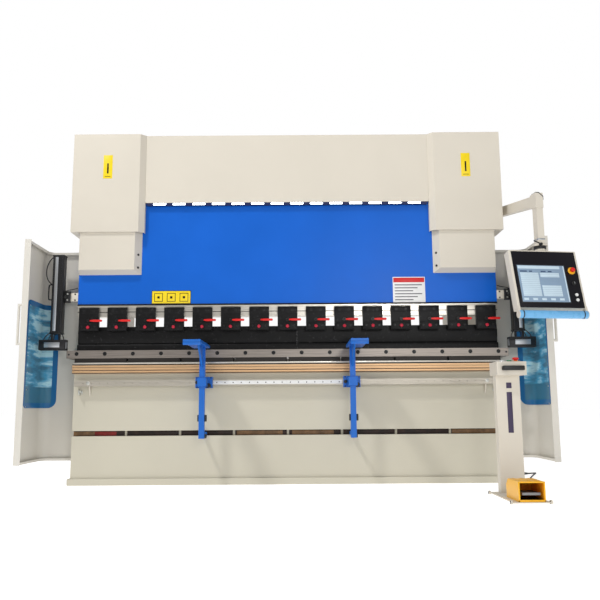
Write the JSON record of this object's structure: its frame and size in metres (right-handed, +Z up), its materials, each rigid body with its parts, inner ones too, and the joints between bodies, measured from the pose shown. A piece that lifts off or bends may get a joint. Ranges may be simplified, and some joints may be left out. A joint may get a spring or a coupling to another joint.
{
  "type": "press brake",
  "caption": "Hydraulic sheet metal press brake with a sliding ram, quick tool clamps, V dies, front supports, side guards, laser guards, control pendant, foot switch and back gauge.",
  "frame": {"origin": "on the floor, under the middle of the bending line", "axes": "+X to the operator's right along the bending line, +Y to the rear, +Z up"},
  "size_m": [3.9711, 2.35, 2.672],
  "materials": {
    "frame_paint": "satin beige powder coat",
    "tank_paint": "satin paint",
    "ram_blue": "smooth semi-gloss blue paint",
    "support_blue": "semi-gloss blue paint",
    "bronze_strip": "brushed bronze bar",
    "ground_steel": "ground and polished",
    "dark_steel": "oiled dark steel",
    "cylinder_steel": "grey paint",
    "tool_black": "black oxide hardened steel",
    "black_screw": "black oxide",
    "zinc_steel": "zinc plated",
    "chromed_rod": "hard chromed",
    "laser_black": "anodised extrusion and moulded housing",
    "laser_silver": "brushed strip",
    "blue_window": "tinted acrylic",
    "window_border": "printed border",
    "led_lens": "lit diffuser",
    "lever_red": "moulded grip",
    "pendant_black": "moulded front",
    "screen_glass": "lit display",
    "handle_blue": "moulded tube",
    "estop_red": "moulded mushroom",
    "estop_yellow": "moulded collar",
    "button_green": "moulded button",
    "button_white": "moulded button",
    "black_plastic": "moulded",
    "hood_yellow": "moulded hood",
    "pedal_grey": "cast with rubber tread",
    "cord_grey": "cable jacket",
    "plate_yellow": "plain plate",
    "plate_white": "plain plate",
    "aluminium_beam": "extruded"
  },
  "bodies": {
    "frame": {"side_frame_left": "frame_paint", "side_frame_right": "frame_paint", "lower_beam": "frame_paint", "beam_cap": "bronze_strip", "upper_beam": "frame_paint", "front_fascia": "frame_paint", "led_strip": "led_lens", "cylinder_cover_left": "frame_paint", "cylinder_cover_right": "frame_paint", "cylinders": "cylinder_steel", "hydraulic_unit": "tank_paint", "crowning_base": "dark_steel", "die_rail": "ground_steel", "die_clamp_screws": "black_screw", "dies": "tool_black", "support_rail": "ground_steel", "lifting_eyes": "zinc_steel", "electrical_cabinet": "frame_paint", "gauge_slideways": "dark_steel"},
    "ram_body": {"ram": "ram_blue", "clamp_rail": "ground_steel", "clamp_blocks": "tool_black", "punches": "tool_black", "rod_covers": "frame_paint", "piston_rods": "chromed_rod", "laser_guards": "laser_black"},
    "carriage_left": {"support_carriage_left": "support_blue"},
    "carriage_right": {"support_carriage_right": "support_blue"},
    "arm_left": {"support_arm_left": "support_blue"},
    "arm_right": {"support_arm_right": "support_blue"},
    "side_guard_left": {"guard_left": "frame_paint", "window_left": "blue_window"},
    "side_guard_right": {"guard_right": "frame_paint", "window_right": "blue_window"},
    "boom": {"pendant_boom": "frame_paint"},
    "control_case": {"pendant_case": "pendant_black"},
    "control_estop": {"pendant_estop": "estop_red"},
    "foot_station": {"pedestal": "frame_paint", "foot_guard": "hood_yellow", "pedal_cord": "cord_grey"},
    "station_estop": {"pedestal_estop": "estop_red"},
    "pedal": {"foot_pedal": "pedal_grey"},
    "back_gauge": {"gauge_beam": "aluminium_beam"},
    "finger_left": {"gauge_finger_left": "ground_steel"},
    "finger_right": {"gauge_finger_right": "ground_steel"},
    "lever_01": {"clamp_lever_01": "lever_red"},
    "lever_02": {"clamp_lever_02": "lever_red"},
    "lever_03": {"clamp_lever_03": "lever_red"},
    "lever_04": {"clamp_lever_04": "lever_red"},
    "lever_05": {"clamp_lever_05": "lever_red"},
    "lever_06": {"clamp_lever_06": "lever_red"},
    "lever_07": {"clamp_lever_07": "lever_red"},
    "lever_08": {"clamp_lever_08": "lever_red"},
    "lever_09": {"clamp_lever_09": "lever_red"},
    "lever_10": {"clamp_lever_10": "lever_red"},
    "lever_11": {"clamp_lever_11": "lever_red"},
    "lever_12": {"clamp_lever_12": "lever_red"},
    "lever_13": {"clamp_lever_13": "lever_red"},
    "lever_14": {"clamp_lever_14": "lever_red"},
    "lever_15": {"clamp_lever_15": "lever_red"}
  },
  "joints": [
    {"name": "ram_slide", "type": "slide", "parent": "frame", "child": "ram_body", "axis": [0, 0, 1], "range_m": [-0.012, 0.186]},
    {"name": "clamp_lever_01_turn", "type": "hinge", "parent": "ram_body", "child": "lever_01", "pos_m": [-1.505, -0.08, 1.209], "axis": [0, 1, 0], "range_deg": [-60, 0]},
    {"name": "clamp_lever_02_turn", "type": "hinge", "parent": "ram_body", "child": "lever_02", "pos_m": [-1.29, -0.08, 1.209], "axis": [0, 1, 0], "range_deg": [-60, 0]},
    {"name": "clamp_lever_03_turn", "type": "hinge", "parent": "ram_body", "child": "lever_03", "pos_m": [-1.075, -0.08, 1.209], "axis": [0, 1, 0], "range_deg": [-60, 0]},
    {"name": "clamp_lever_04_turn", "type": "hinge", "parent": "ram_body", "child": "lever_04", "pos_m": [-0.86, -0.08, 1.209], "axis": [0, 1, 0], "range_deg": [-60, 0]},
    {"name": "clamp_lever_05_turn", "type": "hinge", "parent": "ram_body", "child": "lever_05", "pos_m": [-0.645, -0.08, 1.209], "axis": [0, 1, 0], "range_deg": [-60, 0]},
    {"name": "clamp_lever_06_turn", "type": "hinge", "parent": "ram_body", "child": "lever_06", "pos_m": [-0.43, -0.08, 1.209], "axis": [0, 1, 0], "range_deg": [-60, 0]},
    {"name": "clamp_lever_07_turn", "type": "hinge", "parent": "ram_body", "child": "lever_07", "pos_m": [-0.215, -0.08, 1.209], "axis": [0, 1, 0], "range_deg": [-60, 0]},
    {"name": "clamp_lever_08_turn", "type": "hinge", "parent": "ram_body", "child": "lever_08", "pos_m": [0, -0.08, 1.209], "axis": [0, 1, 0], "range_deg": [-60, 0]},
    {"name": "clamp_lever_09_turn", "type": "hinge", "parent": "ram_body", "child": "lever_09", "pos_m": [0.215, -0.08, 1.209], "axis": [0, 1, 0], "range_deg": [-60, 0]},
    {"name": "clamp_lever_10_turn", "type": "hinge", "parent": "ram_body", "child": "lever_10", "pos_m": [0.43, -0.08, 1.209], "axis": [0, 1, 0], "range_deg": [-60, 0]},
    {"name": "clamp_lever_11_turn", "type": "hinge", "parent": "ram_body", "child": "lever_11", "pos_m": [0.645, -0.08, 1.209], "axis": [0, 1, 0], "range_deg": [-60, 0]},
    {"name": "clamp_lever_12_turn", "type": "hinge", "parent": "ram_body", "child": "lever_12", "pos_m": [0.86, -0.08, 1.209], "axis": [0, 1, 0], "range_deg": [-60, 0]},
    {"name": "clamp_lever_13_turn", "type": "hinge", "parent": "ram_body", "child": "lever_13", "pos_m": [1.075, -0.08, 1.209], "axis": [0, 1, 0], "range_deg": [-60, 0]},
    {"name": "clamp_lever_14_turn", "type": "hinge", "parent": "ram_body", "child": "lever_14", "pos_m": [1.29, -0.08, 1.209], "axis": [0, 1, 0], "range_deg": [-60, 0]},
    {"name": "clamp_lever_15_turn", "type": "hinge", "parent": "ram_body", "child": "lever_15", "pos_m": [1.505, -0.08, 1.209], "axis": [0, 1, 0], "range_deg": [-60, 0]},
    {"name": "support_left_along", "type": "slide", "parent": "frame", "child": "carriage_left", "axis": [1, 0, 0], "range_m": [-0.77, 0.5]},
    {"name": "support_left_height", "type": "slide", "parent": "carriage_left", "child": "arm_left", "axis": [0, 0, 1], "range_m": [-0.06, 0.04]},
    {"name": "support_right_along", "type": "slide", "parent": "frame", "child": "carriage_right", "axis": [1, 0, 0], "range_m": [-0.4, 0.9]},
    {"name": "support_right_height", "type": "slide", "parent": "carriage_right", "child": "arm_right", "axis": [0, 0, 1], "range_m": [-0.06, 0.04]},
    {"name": "guard_left_swing", "type": "hinge", "parent": "frame", "child": "side_guard_left", "pos_m": [-1.55, 0.09, 0.4], "axis": [0, 0, -1], "range_deg": [0, 90]},
    {"name": "guard_right_swing", "type": "hinge", "parent": "frame", "child": "side_guard_right", "pos_m": [1.55, 0.09, 0.4], "axis": [0, 0, 1], "range_deg": [0, 90]},
    {"name": "boom_swing", "type": "hinge", "parent": "frame", "child": "boom", "pos_m": [1.69, 0.16, 2.085], "axis": [0, 0, 1], "range_deg": [-2, 60]},
    {"name": "control_case_swivel", "type": "hinge", "parent": "boom", "child": "control_case", "pos_m": [1.785, -0.52, 1.676], "axis": [0, 0, 1], "range_deg": [-30, 20]},
    {"name": "control_estop_push", "type": "slide", "parent": "control_case", "child": "control_estop", "axis": [-0.1343, 0.961, -0.2419], "range_m": [0, 0.005]},
    {"name": "foot_station_roll", "type": "slide", "parent": "frame", "child": "foot_station", "axis": [0, -1, 0], "range_m": [0, 0.5]},
    {"name": "station_estop_push", "type": "slide", "parent": "foot_station", "child": "station_estop", "axis": [0, 0, -1], "range_m": [0, 0.005]},
    {"name": "pedal_press", "type": "hinge", "parent": "foot_station", "child": "pedal", "pos_m": [1.4, -1.055, 0.048], "axis": [1, 0, 0], "range_deg": [0, 8], "stiffness_Nm_per_rad": 20, "springref_deg": -5.73},
    {"name": "gauge_depth", "type": "slide", "parent": "frame", "child": "back_gauge", "axis": [0, 1, 0], "range_m": [-0.2, 0.25]},
    {"name": "gauge_finger_left_along", "type": "slide", "parent": "back_gauge", "child": "finger_left", "axis": [1, 0, 0], "range_m": [-0.6, 0.35]},
    {"name": "gauge_finger_right_along", "type": "slide", "parent": "back_gauge", "child": "finger_right", "axis": [1, 0, 0], "range_m": [-0.35, 0.6]}
  ]
}
